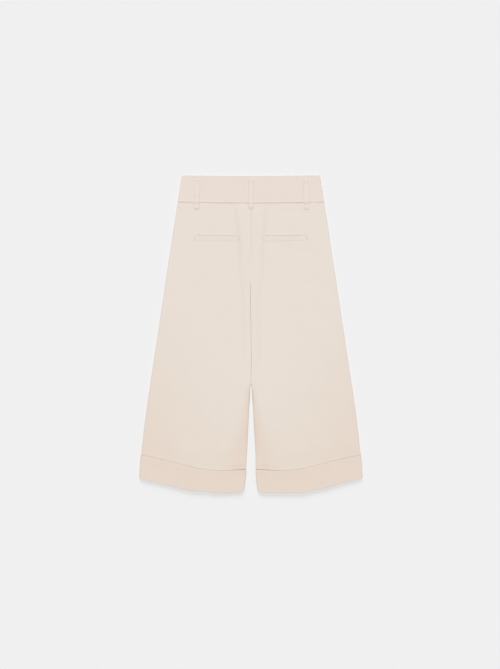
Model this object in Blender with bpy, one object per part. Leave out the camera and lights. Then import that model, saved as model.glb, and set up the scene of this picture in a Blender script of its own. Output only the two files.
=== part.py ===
"""Culottes laid flat with the back uppermost: two wide cropped legs that end in turned-up cuffs,
a deep waistband with three belt loops, and two welt pockets.

X runs across the garment and +Y up it, to the waist. Z is up from the surface it lies on. The
origin is on that surface, under the middle of the garment. Lengths are in metres. "Down" is the
distance down the garment from its waist edge, and "across" the distance from its centre line.
"""

import bmesh
import bpy
import numpy as np
from mathutils import Vector
from mathutils.bvhtree import BVHTree

# Cloth and layers.
CLOTH = 0.0010  # one layer of suiting
BAND = 0.0020  # the waistband, which is two layers
GAP = 0.0003  # between two pieces that are sewn together or lie on each other
LAYER = CLOTH + GAP  # from one layer to the next in a stack
EDGE = 0.0006  # what is left of a piece's thickness at an edge that rolls under

# The whole garment.
LENGTH = 0.791
WAIST_DIP = 0.0005  # the waist edge is this much lower at the centre than at the sides
WAIST_SEAM = 0.068  # down to the seam under the waistband, at the centre
WAIST_SEAM_RISE = 0.0030  # that seam is this much higher at the sides
CROTCH = 0.266  # down to where the legs part
PARTING = 0.025  # over this length their edges start to roll under
LEG_TOUCH = 0.520  # down to where they stop touching
HIP_HALF_WIDTH = 0.200

# Half the width of the garment, at each distance down.
SIDE_EDGE = (  # down, across
    (0.000, 0.1726),
    (0.066, 0.1830),
    (0.190, 0.2020),
    (0.430, 0.2380),
    (0.610, 0.2644),
    (0.671, 0.2713),
    (0.700, 0.2740),
    (0.731, 0.2766),
    (0.744, 0.2774),
    (0.750, 0.2774),
    (0.756, 0.2766),
    (0.762, 0.2745),
)

# The inner edge of each leg, at each distance down.
INNER_EDGE = (  # down, across
    (0.060, 0.00015),
    (CROTCH, 0.00020),
    (0.290, 0.00045),
    (LEG_TOUCH, 0.0006),
    (0.548, 0.0024),
    (0.586, 0.0049),
    (0.661, 0.0095),
    (0.711, 0.0126),
    (0.761, 0.0168),
    (LENGTH, 0.0190),
)

# The top edge of the cuff and its fold at the hem, at each distance across.
CUFF_LINE = (  # across, down
    (0.000, 0.7328),
    (0.035, 0.7345),
    (0.067, 0.7370),
    (0.118, 0.7335),
    (0.163, 0.7235),
    (0.208, 0.7120),
    (0.253, 0.7010),
    (0.290, 0.6940),
)
HEM_LINE = (  # across, down
    (0.000, 0.7770),
    (0.017, 0.7835),
    (0.021, 0.7878),
    (0.030, 0.7898),
    (0.075, LENGTH),
    (0.101, 0.7906),
    (0.126, 0.7892),
    (0.151, 0.7858),
    (0.176, 0.7803),
    (0.226, 0.7678),
    (0.268, 0.7577),
    (0.2755, 0.7553),
    (0.2795, 0.7522),
    (0.284, 0.7460),
)

# Soft folds in the back of the garment: long low ridges, or troughs where the rise is negative.
FOLDS = (  # side, across, down, lean in degrees, half length, half width, rise
    (-1, 0.018, 0.378, 0, 0.075, 0.010, -0.0004),
    (-1, 0.085, 0.400, 3, 0.150, 0.030, 0.0004),
    (-1, 0.205, 0.470, 8, 0.120, 0.020, 0.0005),
    (-1, 0.150, 0.600, 8, 0.110, 0.024, -0.0004),
    (-1, 0.070, 0.112, -30, 0.026, 0.012, -0.0003),
    (1, 0.022, 0.385, 0, 0.070, 0.010, -0.0004),
    (1, 0.116, 0.470, 4, 0.090, 0.016, -0.0004),
    (1, 0.190, 0.420, 8, 0.130, 0.022, 0.0005),
    (1, 0.070, 0.560, 4, 0.130, 0.026, 0.0004),
    (1, 0.215, 0.620, 10, 0.080, 0.018, -0.0003),
    (1, 0.098, 0.183, 82, 0.045, 0.010, -0.0004),
)

# The edge of what the back shows of the fly and crotch seams of the front, which lie beneath it.
BENEATH_EDGE = (  # down, across
    (0.060, 0.046),
    (0.105, 0.043),
    (0.150, 0.031),
    (0.200, 0.029),
    (0.300, 0.030),
)

# How far the back stands off the front.
STAND = 0.0014  # along the edges of each leg
LOFT = 0.0009  # more than that in the middle of each leg
SEAM_LOFT = 0.0006  # in place of LOFT along the waist seam
SEAM_FADE = 0.060  # LOFT is reached this far below the waist seam
BENEATH_RISE = 0.0007  # over the fly and crotch seams of the front
BENEATH_END = 0.295  # down to where that rise has faded
BENEATH_FADE = 0.050  # over this length
CREASE_DEPTH = 0.0006  # of the crease along the edge of that rise
CREASE_WIDTH = 0.005
INNER_DROP = 0.0014  # the legs slope down by this much beside the gap between them
INNER_SLOPE_WIDTH = 0.072  # how far out that slope starts, at the cuff
INNER_SLOPE_GROWTH = 1.5  # the power of the distance below the fork with which it widens

# How far in from an edge the cloth rolls under, or dips into a seam.
SIDE_ROLL = 0.0035
HEM_ROLL = 0.0028
SEAM_DIP_WIDTH = 0.0016
SEAM_DIP = 0.0005
BAND_LOFT = 0.0003  # the waistband's fullness, added to that of the seam
BAND_FOLD_DIP = 0.0007  # at the waistband's upper edge
BAND_SEAM_DIP = 0.0004  # at its seam

# The cuffs.
CUFF_OUTSET = LAYER  # the cuff goes round the leg
CUFF_LIFT_LENGTH = 0.045  # the front of the leg rises over this length to enter its cuff
CUFF_LOFT = 0.0006  # the fullness in the middle of each cuff
CUFF_STAND = 0.0002  # how far its free edge stands off the leg
CUFF_OPEN_STAND = 0.0006  # more than that near the leg's inner edge
CUFF_OPEN = 0.090  # which fades out this far across
CUFF_STAND_SHARE = 0.4  # the share of the cuff's height over which it comes down on the leg
UNDER_ROUND = 0.0006  # how far the edges of the front's cuff rise off the surface
LEG_END = LAYER + 0.0009  # the leg stops this far short of the hem

# The belt loops.
LOOP_WIDTH = 0.0135
LOOP_CLOTH = 0.0013
LOOP_TOP = 0.0100
LOOP_BOTTOM = 0.0825
LOOP_SLACK = 0.0009  # how far the middle of a loop stands off the waistband
LOOPS = (  # name, across at the top end, across at the bottom end
    ("belt_loop_left", -0.1330, -0.1362),
    ("belt_loop_centre", 0.0005, 0.0005),
    ("belt_loop_right", 0.1372, 0.1392),
)

# The welt pockets.
WELT_START = 0.031  # across, at the end near the centre
WELT_END = 0.141
WELT_HEIGHT = 0.0130
WELT_CLOTH = 0.0010
WELT_DOWN = 0.1512  # down to the welt's free edge, at the end near the centre
WELT_LEAN = 0.0018  # the other end is this much higher
WELT_ROLL = 0.0012

CLOTH_COLOUR = (0.81, 0.735, 0.663, 1.0)
CLOTH_ROUGHNESS = 0.85

# Where the grids have their rows and columns, as shares of the piece.
NEAR_EDGE = (0.0, 0.004, 0.012, 0.032)


def spread(middle, near=NEAR_EDGE):
    """Shares from 0 to 1 that crowd towards both ends, with so many evenly spaced between."""
    near = np.array(near)
    start = near[-1] + (1 - 2 * near[-1]) / (middle + 1)
    return np.concatenate([near, np.linspace(start, 1 - start, middle), 1 - near[::-1]])


AT_CREASE = (0.09, 0.125, 0.15, 0.175)
FAR_EDGE = 1 - np.array(NEAR_EDGE[::-1])
LEG_COLUMNS = np.concatenate([NEAR_EDGE, AT_CREASE, np.linspace(0.25, 0.90, 7), FAR_EDGE])
LEG_ROWS = spread(22, (0.0, 0.002, 0.007, 0.022))
FRONT_COLUMNS = np.linspace(0, 1, 7)
FRONT_ROWS = np.concatenate([np.linspace(0, 0.9, 9), [0.955, 0.967, 0.978, 0.989, 1.0]])
IN_CUFF_ROWS = np.array([0.12, 0.55, 1.0])
CUFF_COLUMNS = spread(10)
CUFF_ROWS = np.array([0.0, 0.014, 0.06, 0.3, 0.6, 0.9, 0.955, 0.985, 1.0])
TURNED_SIDE = (0.0030, 0.0034)  # a turned-up side of the front cuff ends between these shares
TURNED_HEM = (0.0130, 0.0150)  # and its turned-up hem between these
FRONT_CUFF_COLUMNS = spread(5, (0.0, *TURNED_SIDE))
FRONT_CUFF_ROWS = np.array([0.0, 0.35, 0.7, 1 - TURNED_HEM[1], 1 - TURNED_HEM[0], 1.0])
BAND_COLUMNS = 2 * spread(17) - 1
BAND_ROWS = np.array([0.0, 0.012, 0.04, 0.3, 0.7, 0.96, 0.985, 1.0])
FRONT_BAND_ROWS = np.linspace(0, 1, 4)
LOOP_COLUMNS = np.array([0.0, 0.06, 0.5, 0.94, 1.0])
LOOP_ROWS = np.array([0.0, 0.01, 0.05, 0.25, 0.5, 0.7, 0.76, 0.82, 0.88, 0.95, 0.99, 1.0])
WELT_COLUMNS = spread(9, (0.0, 0.01))
WELT_ROWS = np.array([0.0, 0.08, 0.5, 0.92, 1.0])
PASSES = 8  # in which places between slanting edges are settled


def curve(table):
    """The smooth curve through a table's rows, which never overshoots them, as a function."""
    places, values = np.array(table).T
    steps = np.diff(places)
    rises = np.diff(values) / steps
    turning = rises[:-1] * rises[1:] <= 0
    total = np.where(turning, 1, rises[:-1] + rises[1:])
    middle = np.where(turning, 0, 2 * rises[:-1] * rises[1:] / total)
    slopes = np.concatenate([rises[:1], middle, rises[-1:]])

    def value(place):
        place = np.clip(place, places[0], places[-1])
        i = np.clip(np.searchsorted(places, place) - 1, 0, len(steps) - 1)
        t = (place - places[i]) / steps[i]
        from_start = (1 + 2 * t) * (1 - t) ** 2 * values[i] + t * (1 - t) ** 2 * steps[i] * slopes[i]
        to_end = t * t * (3 - 2 * t) * values[i + 1] - t * t * (1 - t) * steps[i] * slopes[i + 1]
        return from_start + to_end

    return value


side_edge = curve(SIDE_EDGE)
inner_edge = curve(INNER_EDGE)
cuff_line = curve(CUFF_LINE)
hem_line = curve(HEM_LINE)
beneath_edge = curve(BENEATH_EDGE)


def smooth(t):
    """0 up to t = 0, 1 from t = 1, and a soft step between."""
    t = np.clip(t, 0, 1)
    return t * t * (3 - 2 * t)


def roll(distance, width):
    """0 at an edge, rising as a quarter circle to 1 at the width."""
    return np.sqrt(1 - (1 - np.clip(distance / width, 0, 1)) ** 2)


def waist_edge(across):
    return WAIST_DIP * (1 - (across / SIDE_EDGE[0][1]) ** 2)


def waist_seam(across):
    return WAIST_SEAM - WAIST_SEAM_RISE * (across / SIDE_EDGE[1][1]) ** 2


def legs_apart(down):
    """0 above the crotch, where the two sides are sewn together, and 1 below it."""
    return smooth((down - CROTCH) / PARTING)


def points(side, across, down, height):
    """Points in space from arrays of places on the garment."""
    return np.stack([side * across, LENGTH / 2 - down, height], axis=-1)


def between_edges(rows, columns, first, last, outset=0.0):
    """Places on a leg, rows by columns: from its inner edge to its side edge, and from the line
    first to the line last."""
    row, column = np.meshgrid(rows, columns, indexing="ij")
    across = column * HIP_HALF_WIDTH
    for _ in range(PASSES):
        down = first(across) + row * (last(across) - first(across))
        inner = inner_edge(down) - outset
        across = inner + column * (side_edge(down) + outset - inner)
    return across, down


def front_lift(across, down):
    """How far the front of a leg is lifted off the surface by the cuff round it."""
    return LAYER * smooth(1 - (cuff_line(across) - down) / CUFF_LIFT_LENGTH)


def lens(across, down):
    """0 at the garment's sides and 1 in the middle: of the whole above the crotch, and of each
    leg below it."""
    inner, outer = inner_edge(down), side_edge(down)
    whole = np.cos(np.pi / 2 * np.clip(across / outer, 0, 1))
    leg = np.sin(np.pi * np.clip((across - inner) / (outer - inner), 0, 1))
    apart = legs_apart(down)
    return whole * (1 - apart) + leg * apart


def fold_relief(side, across, down):
    """The sum of the folds on this side: each is a ridge, or a trough, with a bell-shaped section."""
    total = np.zeros_like(across)
    for on, x, y, lean, length, width, rise in FOLDS:
        if on != side:
            continue
        turn = np.radians(lean)
        along = (across - x) * np.sin(turn) + (down - y) * np.cos(turn)
        aside = (across - x) * np.cos(turn) - (down - y) * np.sin(turn)
        total += rise * np.exp(-((along / length) ** 2) - (aside / width) ** 2)
    return total


def beneath_relief(across, down):
    """The rise over the front's fly and crotch seams, with a soft crease along its edge."""
    from_edge = beneath_edge(down) - across
    step = smooth(from_edge / (2 * CREASE_WIDTH) + 0.5)
    crease = np.exp(-((from_edge / CREASE_WIDTH) ** 2))
    return (BENEATH_RISE * step - CREASE_DEPTH * crease) * smooth((BENEATH_END - down) / BENEATH_FADE)


def inner_slope(across, down):
    """0 on the leg, rising to 1 at its inner edge near the cuff: a slope that widens downwards."""
    below = np.clip((down - LEG_TOUCH) / (CUFF_LINE[1][1] - LEG_TOUCH), 0, 1)
    width = INNER_SLOPE_WIDTH * below**INNER_SLOPE_GROWTH + GAP
    return np.sqrt(below) * smooth(1 - (across - inner_edge(down)) / width)


def back_height(side, across, down):
    """Height of the upper face of the back, away from its edges: it stands off the front, and the
    cuff holds the two together."""
    lift = front_lift(across, down)
    loft = SEAM_LOFT + (LOFT - SEAM_LOFT) * smooth((down - waist_seam(across)) / SEAM_FADE)
    stand = STAND + loft * lens(across, down) - INNER_DROP * inner_slope(across, down)
    stand += fold_relief(side, across, down) + beneath_relief(across, down)
    return LAYER + CLOTH + lift + np.maximum(stand, 0) * (1 - lift / LAYER)


def back_faces(side, across, down):
    """The upper and under faces of a back panel, with its edges rolled under or dipping to a seam."""
    lowest = LAYER + front_lift(across, down)
    full = back_height(side, across, down)
    from_inner = across - inner_edge(down)
    from_side = side_edge(down) - across
    seam = 1 - SEAM_DIP / full * (1 - roll(from_inner, SEAM_DIP_WIDTH))
    seam *= 1 - SEAM_DIP / full * (1 - roll(down - waist_seam(across) - GAP / 2, SEAM_DIP_WIDTH))
    apart = legs_apart(down)
    rolled = roll(from_side, SIDE_ROLL) * (1 - apart + apart * roll(from_inner, SIDE_ROLL))
    upper = lowest + EDGE + (full * seam - lowest - EDGE) * rolled
    under = np.maximum(upper - CLOTH, lowest)
    return upper, under


def piece_of_cloth(name, seen, beneath):
    """One closed piece between two grids of points, rows by columns: the face that is seen and
    the face beneath it, joined round the edge."""
    rows, columns, _ = seen.shape
    mesh = bmesh.new()
    faces = [[[mesh.verts.new(p) for p in row] for row in grid] for grid in (seen, beneath)]
    for grid in faces:
        for r in range(rows - 1):
            for c in range(columns - 1):
                mesh.faces.new((grid[r][c], grid[r][c + 1], grid[r + 1][c + 1], grid[r + 1][c]))
    edge = [(0, c) for c in range(columns - 1)]
    edge += [(r, columns - 1) for r in range(rows - 1)]
    edge += [(rows - 1, c) for c in range(columns - 1, 0, -1)]
    edge += [(r, 0) for r in range(rows - 1, 0, -1)]
    for a, b in zip(edge, edge[1:] + edge[:1]):
        corners = [grid[r][c] for grid in faces for r, c in (a, b)]
        mesh.faces.new((corners[0], corners[1], corners[3], corners[2]))
    bmesh.ops.triangulate(mesh, faces=mesh.faces)
    bmesh.ops.recalc_face_normals(mesh, faces=mesh.faces)
    data = bpy.data.meshes.new(name)
    mesh.to_mesh(data)
    mesh.free()
    data.shade_smooth()
    data.set_sharp_from_angle(angle=np.radians(40))
    data.materials.append(cloth_material())
    piece = bpy.data.objects.new(name, data)
    bpy.context.scene.collection.objects.link(piece)
    return piece


def cloth_material():
    """The suiting: pale beige and matt."""
    material = bpy.data.materials.get("suiting")
    if material is None:
        material = bpy.data.materials.new("suiting")
        material.use_nodes = True
        shader = material.node_tree.nodes["Principled BSDF"]
        shader.inputs["Base Color"].default_value = CLOTH_COLOUR
        shader.inputs["Roughness"].default_value = CLOTH_ROUGHNESS
        shader.inputs["Metallic"].default_value = 0.0
    return material


def leg_end(across):
    return hem_line(across) - LEG_END


def leg_places(rows, columns):
    """Places on a leg panel: rows from the waist seam to the cuff's top edge, then a few inside it."""
    seen = between_edges(rows, columns, lambda across: waist_seam(across) + GAP / 2, cuff_line)
    in_cuff = between_edges(IN_CUFF_ROWS, columns, cuff_line, leg_end)
    return [np.concatenate(pair) for pair in zip(seen, in_cuff)]


def make_back(name, side):
    across, down = leg_places(LEG_ROWS, LEG_COLUMNS)
    upper, under = back_faces(side, across, down)
    return piece_of_cloth(name, points(side, across, down, upper), points(side, across, down, under))


def make_front(name, side):
    """A front panel, flat on the surface, whose lower end rises into the cuff."""
    across, down = leg_places(FRONT_ROWS, FRONT_COLUMNS)
    lift = front_lift(across, down)
    return piece_of_cloth(name, points(side, across, down, lift + CLOTH), points(side, across, down, lift))


def cuff_edges(across, down):
    """0 at the cuff's two side edges and at its fold, rising to 1 inside them."""
    from_inner = across - inner_edge(down) + CUFF_OUTSET
    from_side = side_edge(down) + CUFF_OUTSET - across
    from_hem = hem_line(across) - down
    return roll(from_inner, SIDE_ROLL) * roll(from_side, SIDE_ROLL) * roll(from_hem, HEM_ROLL)


def make_back_cuff(name, side):
    """The upper half of a cuff: a layer over the leg that turns down round it at the hem and
    at both sides, and stands a little proud along its top edge."""
    across, down = between_edges(CUFF_ROWS, CUFF_COLUMNS, cuff_line, hem_line, CUFF_OUTSET)
    lowest = 2 * LAYER
    share = (down - cuff_line(across)) / (hem_line(across) - cuff_line(across))
    stand = CUFF_STAND + CUFF_OPEN_STAND * smooth(1 - across / CUFF_OPEN)
    full = 3 * LAYER + CLOTH + CUFF_LOFT * lens(across, down)
    full += stand * (1 - smooth(share / CUFF_STAND_SHARE))
    upper = lowest + EDGE + (full - lowest - EDGE) * cuff_edges(across, down)
    under = np.maximum(upper - CLOTH, lowest)
    return piece_of_cloth(name, points(side, across, down, upper), points(side, across, down, under))


def make_front_cuff(name, side):
    """The under half of a cuff: flat on the surface, with its hem and sides turned up."""
    across, down = between_edges(FRONT_CUFF_ROWS, FRONT_CUFF_COLUMNS, cuff_line, hem_line, CUFF_OUTSET)
    row, column = np.meshgrid(FRONT_CUFF_ROWS, FRONT_CUFF_COLUMNS, indexing="ij")
    at_side = np.minimum(column, 1 - column) < np.mean(TURNED_SIDE)
    at_hem = 1 - row < np.mean(TURNED_HEM)
    upper = CLOTH + LAYER * (at_side | at_hem)
    under = UNDER_ROUND * (1 - roll(cuff_edges(across, down), 0.5))
    return piece_of_cloth(name, points(side, across, down, upper), points(side, across, down, under))


def waistband_places(rows, columns, inner=0.0):
    """Places on the waistband, rows by columns: from its upper edge to its seam, and from inner
    to its side edge, or from side to side where the columns run from -1 to 1."""
    row, column = np.meshgrid(rows, columns, indexing="ij")
    across = column * HIP_HALF_WIDTH
    for _ in range(PASSES):
        top, seam = waist_edge(across), waist_seam(across) - GAP / 2
        down = top + row * (seam - top)
        across = inner + column * (side_edge(down) - inner)
    return across, down


def make_waistband_back(name):
    across, down = waistband_places(BAND_ROWS, BAND_COLUMNS)
    lowest = BAND + GAP
    loft = BAND_LOFT + SEAM_LOFT * np.cos(np.pi / 2 * np.clip(across / side_edge(down), -1, 1))
    folded = BAND_FOLD_DIP * (1 - roll(down - waist_edge(across), SEAM_DIP_WIDTH))
    sewn = BAND_SEAM_DIP * (1 - roll(waist_seam(across) - GAP / 2 - down, SEAM_DIP_WIDTH))
    full = lowest + BAND + loft - folded - sewn
    rolled = roll(side_edge(down) - np.abs(across), SIDE_ROLL)
    upper = lowest + EDGE + (full - lowest - EDGE) * rolled
    under = np.maximum(upper - BAND, lowest)
    return piece_of_cloth(name, points(1, across, down, upper), points(1, across, down, under))


def make_waistband_front(name, side):
    """Half of the front of the waistband, which parts at the centre where the front fastens."""
    across, down = waistband_places(FRONT_BAND_ROWS, FRONT_COLUMNS, GAP / 2)
    flat = np.zeros_like(across)
    return piece_of_cloth(name, points(side, across, down, flat + BAND), points(side, across, down, flat))


def height_finder(pieces):
    """A function that gives the height of the highest of these pieces under a point, and 0 where
    the point is over the gap between two of them."""
    corners, faces = [], []
    for piece in pieces:
        start = len(corners)
        corners += [v.co.copy() for v in piece.data.vertices]
        faces += [[start + i for i in polygon.vertices] for polygon in piece.data.polygons]
    tree = BVHTree.FromPolygons(corners, faces)

    def height(x, y):
        hit = tree.ray_cast(Vector((x, y, 1.0)), Vector((0, 0, -1)))[0]
        return hit.z if hit else 0.0

    return np.vectorize(height, otypes=[float])


def make_welt(name, side, panel):
    """A pocket's welt, a folded strip on the back panel, made from that panel's own heights."""
    row, column = np.meshgrid(WELT_ROWS, WELT_COLUMNS, indexing="ij")
    across = WELT_START + column * (WELT_END - WELT_START)
    down = WELT_DOWN - WELT_LEAN * column + row * WELT_HEIGHT
    under = height_finder([panel])(side * across, LENGTH / 2 - down) + GAP
    ends = np.minimum(column, 1 - column) * (WELT_END - WELT_START)
    edges = np.minimum(row, 1 - row) * WELT_HEIGHT
    upper = under + EDGE + (WELT_CLOTH - EDGE) * roll(np.minimum(ends, edges), WELT_ROLL)
    return piece_of_cloth(name, points(side, across, down, upper), points(side, across, down, under))


def make_loop(name, top, bottom, beneath):
    """A belt loop: a strip over the waistband, sewn down at both ends, that stands off it between.
    It is too stiff to dip into a seam, so each row of it is as high as the rows beside it need."""
    row, column = np.meshgrid(LOOP_ROWS, LOOP_COLUMNS, indexing="ij")
    across = top + row * (bottom - top) + (column - 0.5) * LOOP_WIDTH
    down = LOOP_TOP + row * (LOOP_BOTTOM - LOOP_TOP)
    ground = height_finder(beneath)(across, LENGTH / 2 - down).max(axis=1, keepdims=True)
    before, after = np.roll(ground, 1, axis=0), np.roll(ground, -1, axis=0)
    before[0], after[-1] = ground[0], ground[-1]
    ground = np.maximum(ground, np.maximum(before, after))
    under = ground + GAP + LOOP_SLACK * np.sin(np.pi * smooth(row)) ** 2
    ends = np.minimum(row, 1 - row) * (LOOP_BOTTOM - LOOP_TOP)
    edges = np.minimum(column, 1 - column) * LOOP_WIDTH
    upper = under + EDGE + (LOOP_CLOTH - EDGE) * roll(np.minimum(ends, edges), WELT_ROLL)
    return piece_of_cloth(name, points(1, across, down, upper), points(1, across, down, under))


def main():
    for old in list(bpy.data.objects):
        bpy.data.objects.remove(old)
    backs = {}
    for word, side in (("left", -1), ("right", 1)):
        backs[word] = make_back(f"back_{word}", side)
        make_front(f"front_{word}", side)
        make_back_cuff(f"cuff_back_{word}", side)
        make_front_cuff(f"cuff_front_{word}", side)
        make_waistband_front(f"waistband_front_{word}", side)
        make_welt(f"pocket_welt_{word}", side, backs[word])
    waistband = make_waistband_back("waistband_back")
    for name, top, bottom in LOOPS:
        make_loop(name, top, bottom, [waistband, *backs.values()])


main()
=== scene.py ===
"""The looks of a pair of culottes that lie flat with their back uppermost, in pale beige suiting.

X runs across the garment, +Y up it to the waist, and Z is up from the floor, in metres. "Down" is
the distance down the garment from its waist edge, and "across" the distance from its centre line.
Each piece of cloth is a thin closed shell between two grids of points, one for each of its faces.
"""

import bpy
import numpy as np
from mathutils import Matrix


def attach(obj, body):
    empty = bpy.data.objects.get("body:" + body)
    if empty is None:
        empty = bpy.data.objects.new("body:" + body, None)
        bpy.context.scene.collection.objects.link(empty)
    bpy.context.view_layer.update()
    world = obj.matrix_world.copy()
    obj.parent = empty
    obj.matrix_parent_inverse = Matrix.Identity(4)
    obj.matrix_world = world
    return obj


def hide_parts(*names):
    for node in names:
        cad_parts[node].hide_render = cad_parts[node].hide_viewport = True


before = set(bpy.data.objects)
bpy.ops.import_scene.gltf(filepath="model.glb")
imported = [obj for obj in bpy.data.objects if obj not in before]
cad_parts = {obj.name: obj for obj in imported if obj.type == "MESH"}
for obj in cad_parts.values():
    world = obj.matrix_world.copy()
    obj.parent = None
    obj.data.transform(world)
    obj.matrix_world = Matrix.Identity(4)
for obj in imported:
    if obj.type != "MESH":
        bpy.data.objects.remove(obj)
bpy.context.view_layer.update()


def curve(*table):
    """The smooth curve through a table's rows, which never overshoots them, as a function: cubics,
    whose slope at a row is the harmonic mean of those beside it."""
    places, values = np.array(table).T
    steps = np.diff(places)
    rises = np.diff(values) / steps
    turning = rises[:-1] * rises[1:] <= 0
    total = np.where(turning, 1, rises[:-1] + rises[1:])
    middle = np.where(turning, 0, 2 * rises[:-1] * rises[1:] / total)
    slopes = np.concatenate([rises[:1], middle, rises[-1:]])

    def value(place):
        place = np.clip(place, places[0], places[-1])
        i = np.clip(np.searchsorted(places, place) - 1, 0, len(steps) - 1)
        t = (place - places[i]) / steps[i]
        back, on = (1 - t) ** 2, t * t
        from_start = (1 + 2 * t) * back * values[i] + t * back * steps[i] * slopes[i]
        to_end = on * (3 - 2 * t) * values[i + 1] - on * (1 - t) * steps[i] * slopes[i + 1]
        return from_start + to_end

    return value


# --- Sizes ---

# Layers, from the floor up. The solids are 1 mm thick, and the cloth that shows is thinner.
SOLID = 0.0010
CLOTH = 0.0008
BAND = 0.0020
GAP = 0.0003
LAYER = SOLID + GAP
SLIVER = 0.00003  # between two faces that meet
LEG_MEETS = LAYER - GAP / 2  # where a leg's back and front meet
CUFF_MEETS = 2 * LAYER - GAP / 2  # the same of a cuff
BAND_MEETS = BAND + GAP / 2  # and of the waistband
BAND_LOW = BAND + GAP  # the under face of the waistband's back

# The whole garment.
LENGTH = 0.791
WAIST_DIP = 0.0012
WAIST_SEAM = 0.0684
WAIST_SEAM_RISE = 0.0027
CROTCH = 0.266
PARTING = 0.016
PARTING_LOFT = 0.150  # over this the legs' own roundness takes over from the seat's
LEG_TOUCH = 0.520
WAIST_HALF_WIDTH = 0.1726
SEAM_HALF_WIDTH = 0.183
HIP_HALF_WIDTH = 0.2
CUFF_TOP = 0.7358  # near the inner edge

side_edge = curve(  # down, across
    (0.0, WAIST_HALF_WIDTH), (0.066, SEAM_HALF_WIDTH), (0.19, 0.202), (0.43, 0.238),
    (0.61, 0.2644), (0.671, 0.2713), (0.7, 0.274), (0.731, 0.2766), (0.744, 0.2774),
    (0.75, 0.2774), (0.756, 0.2766), (0.762, 0.2745),
)
inner_edge = curve(  # down, across
    (0.06, 0.00001), (CROTCH, 0.00001), (0.29, 0.00004), (LEG_TOUCH, 0.00008), (0.5205, 0.0012),
    (0.522, 0.0018), (0.525, 0.0021), (0.54, 0.0026), (0.56, 0.0036), (0.574, 0.0048),
    (0.586, 0.0054), (0.611, 0.0065), (0.661, 0.009), (0.711, 0.0117), (0.741, 0.0134),
    (0.755, 0.0141), (0.767, 0.0162), (LENGTH, 0.0186),
)
centre_line = curve(  # down, how far right of the middle the legs meet
    (0.085, 0.0), (0.105, 0.001), (0.19, 0.001), (0.235, 0.0), (0.272, -0.0011), (0.325, -0.0011),
    (0.375, 0.0), (0.41, 0.0004), (0.45, 0.0012), (0.475, 0.0012), (0.5, 0.0), (0.56, 0.0003),
    (0.6, 0.0005), (0.64, 0.0005), (0.66, 0.0008), (0.68, 0.001), (0.703, 0.0007), (0.718, 0.0),
)
CENTRE_REACH = 0.030  # it draws the cloth beside it along
cuff_line = curve(  # across, down
    (0.0, 0.7342), (0.035, CUFF_TOP), (0.067, 0.7378), (0.118, 0.7347), (0.163, 0.7245),
    (0.208, 0.7131), (0.253, 0.7027), (0.29, 0.6958),
)
hem_line = curve(  # across, down
    (0.0, 0.777), (0.016, 0.7815), (0.019, 0.7845), (0.024, 0.7882), (0.032, 0.79),
    (0.075, LENGTH), (0.101, 0.7906), (0.126, 0.7892), (0.151, 0.7858), (0.176, 0.7803),
    (0.226, 0.7678), (0.268, 0.7577), (0.2755, 0.7553), (0.2795, 0.7522), (0.284, 0.746),
)
hem_drift = curve(  # across to the right, how much lower the hem hangs there
    (-0.27, 0.0008), (-0.225, 0.0009), (-0.205, 0.0), (-0.15, 0.0), (-0.13, -0.001),
    (-0.115, -0.0022), (-0.103, -0.0003), (-0.087, 0.0007), (-0.025, 0.0009), (0.0, 0.0),
    (0.02, 0.0028), (0.033, 0.0018), (0.052, 0.0013), (0.083, 0.001), (0.108, 0.0017),
    (0.134, 0.0028), (0.146, 0.0023), (0.158, 0.0003), (0.183, 0.0011), (0.208, 0.0007),
    (0.222, 0.0),
)
HEM_DRIFT_LENGTH = (0.742, 0.775)  # between these distances down it grows

# How far the back stands off the front, as in the solids.
STAND = 0.0014
LOFT = 0.0009
SEAM_LOFT = 0.0006
SEAM_FADE = 0.060
beneath_edge = curve(  # down, across: the edge of the front's seams, which lie beneath
    (0.06, 0.044), (0.091, 0.0385), (0.126, 0.0345), (0.181, 0.0295), (0.24, 0.0278),
    (0.273, 0.024), (0.323, 0.0185), (0.423, 0.019),
)
BENEATH_RISE = 0.0006
crease_mark = curve(  # down, how marked the crease along that edge is
    (0.07, 0.0), (0.091, 0.5), (0.126, 0.8), (0.181, 1.0), (0.211, 0.7), (0.32, 0.5), (0.42, 0.6),
    (0.49, 0.0),
)
CREASE_DEPTH = 0.0010
CREASE_WIDTH = 0.0055
INNER_DROP = 0.0014
INNER_SLOPE_WIDTH = 0.076

# Folds in the back: long low ridges, or troughs where the rise is negative.
MAIN_FOLDS = (  # side, across, down, lean in degrees, half length, half width, rise
    (-1, 0.018, 0.378, 0, 0.075, 0.01, -0.0004),
    (-1, 0.085, 0.4, 3, 0.15, 0.03, 0.0004),
    (-1, 0.205, 0.47, 8, 0.12, 0.02, 0.0005),
    (-1, 0.15, 0.6, 8, 0.11, 0.024, -0.0004),
    (-1, 0.07, 0.112, -30, 0.026, 0.012, -0.0003),
    (1, 0.022, 0.385, 0, 0.07, 0.01, -0.0004),
    (1, 0.116, 0.47, 4, 0.09, 0.016, -0.0004),
    (1, 0.19, 0.42, 8, 0.13, 0.022, 0.0005),
    (1, 0.07, 0.56, 4, 0.13, 0.026, 0.0004),
    (1, 0.215, 0.62, 10, 0.08, 0.018, -0.0003),
    (1, 0.098, 0.183, 82, 0.045, 0.01, -0.0004),
)
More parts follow.
